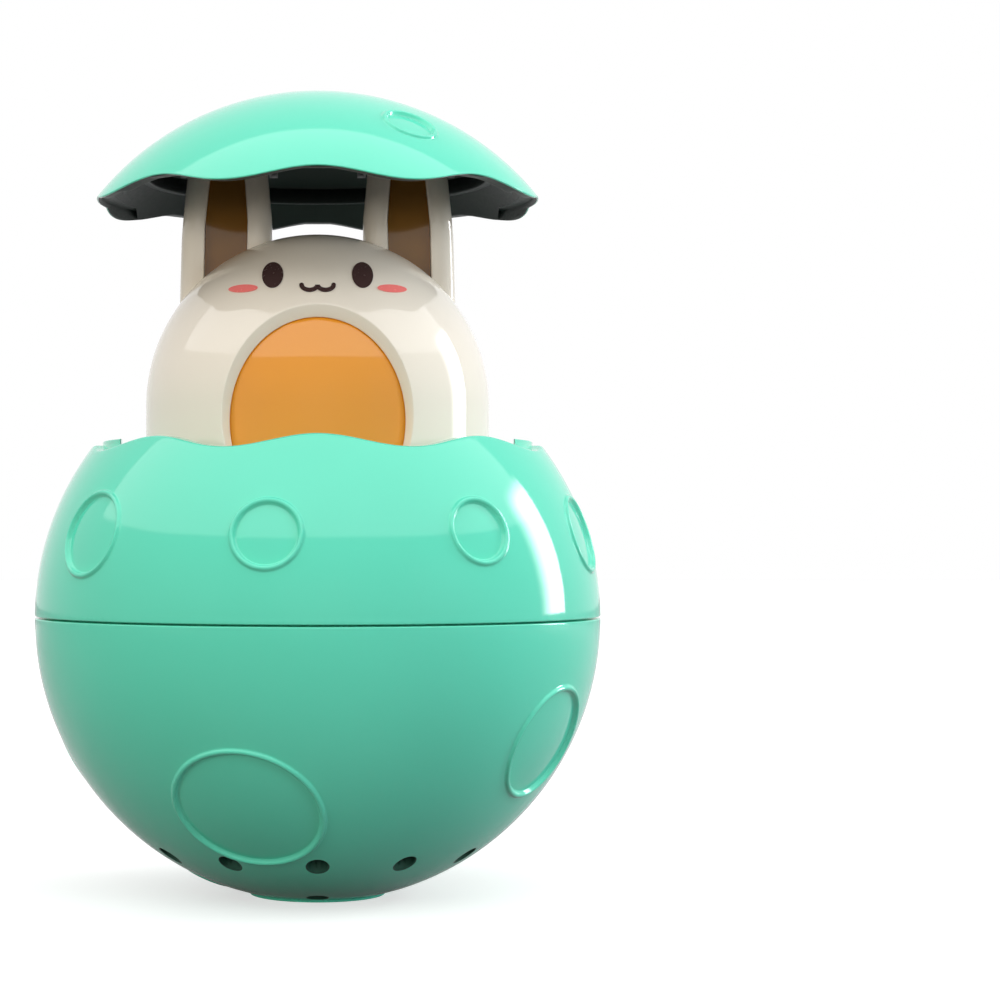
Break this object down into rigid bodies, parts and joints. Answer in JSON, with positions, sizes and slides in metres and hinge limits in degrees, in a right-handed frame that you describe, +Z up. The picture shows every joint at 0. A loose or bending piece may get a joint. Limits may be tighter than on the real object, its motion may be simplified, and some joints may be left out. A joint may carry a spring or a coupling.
{
  "type": "egg bath toy",
  "caption": "Floating egg bath toy: a ball in two twist-locked halves with drain holes, and a hollow rabbit that rises to lift the wavy lid on its ears.",
  "frame": {"origin": "centre of the flat foot under the egg, with the rabbit raised", "axes": "+Z up along the rabbit's travel, -Y towards the front where the rabbit looks, +X to the right as seen from the front"},
  "size_m": [0.1, 0.1, 0.1421],
  "materials": {
    "mint_abs": "glossy moulded ABS",
    "white_abs": "glossy moulded ABS",
    "orange_abs": "glossy moulded ABS",
    "seal_rubber": "moulded rubber",
    "screw_steel": "stainless steel",
    "brown_ink": "pad-printed ink",
    "coral_ink": "pad-printed ink"
  },
  "bodies": {
    "lower_half": {"lower_shell": "mint_abs"},
    "upper_half": {"upper_shell": "mint_abs", "guide_cage": "mint_abs", "cage_screws": "screw_steel"},
    "float": {"float_base": "white_abs", "float_seal": "seal_rubber", "base_screws": "screw_steel", "float_core": "orange_abs", "rabbit_shell": "white_abs", "left_ear": "white_abs", "right_ear": "white_abs", "left_ear_inlay": "orange_abs", "right_ear_inlay": "orange_abs", "lid": "mint_abs", "lid_screws": "screw_steel", "left_eye": "brown_ink", "right_eye": "brown_ink", "mouth": "brown_ink", "left_cheek": "coral_ink", "right_cheek": "coral_ink"}
  },
  "joints": [
    {"name": "twist_lock", "type": "hinge", "parent": "lower_half", "child": "upper_half", "pos_m": [0, 0, 0.04899], "axis": [0, 0, 1], "range_deg": [0, 25]},
    {"name": "float_rise", "type": "slide", "parent": "upper_half", "child": "float", "axis": [0, 0, 1], "range_m": [-0.043, 0]}
  ]
}
